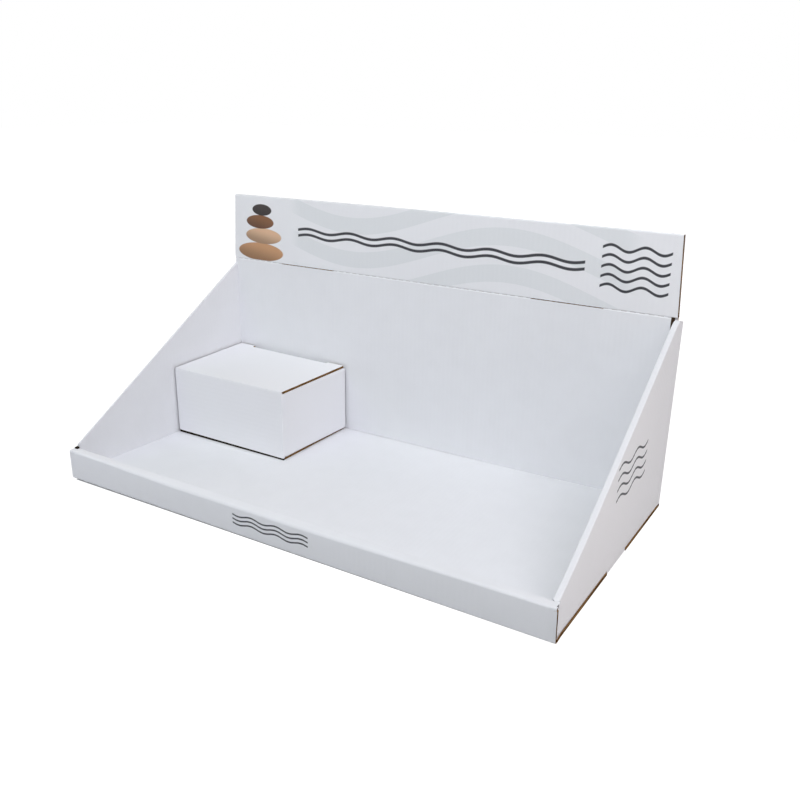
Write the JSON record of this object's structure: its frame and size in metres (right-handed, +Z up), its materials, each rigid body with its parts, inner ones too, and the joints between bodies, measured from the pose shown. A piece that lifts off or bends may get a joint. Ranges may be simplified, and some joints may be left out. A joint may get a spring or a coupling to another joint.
{
  "type": "cardboard display stand",
  "caption": "Counter display folded from white corrugated board: tray with sloping sides and a front lip, back card with a header, and a riser carton with a hinged tuck lid.",
  "frame": {"origin": "on the surface it stands on, under the middle of the tray", "axes": "+X to the right along the width, -Y towards the shopper, +Z up"},
  "size_m": [0.61, 0.306, 0.303],
  "materials": {
    "white_board": "matte",
    "printed_board": "satin"
  },
  "bodies": {
    "stand": {"tray": "white_board", "back_card": "printed_board", "riser_carton": "white_board"},
    "riser_lid": {"riser_lid": "white_board"}
  },
  "joints": [
    {"name": "riser_lid_hinge", "type": "hinge", "parent": "stand", "child": "riser_lid", "pos_m": [-0.2095, 0.01509, 0.09181], "axis": [1, 0, 0], "range_deg": [0, 180]}
  ]
}
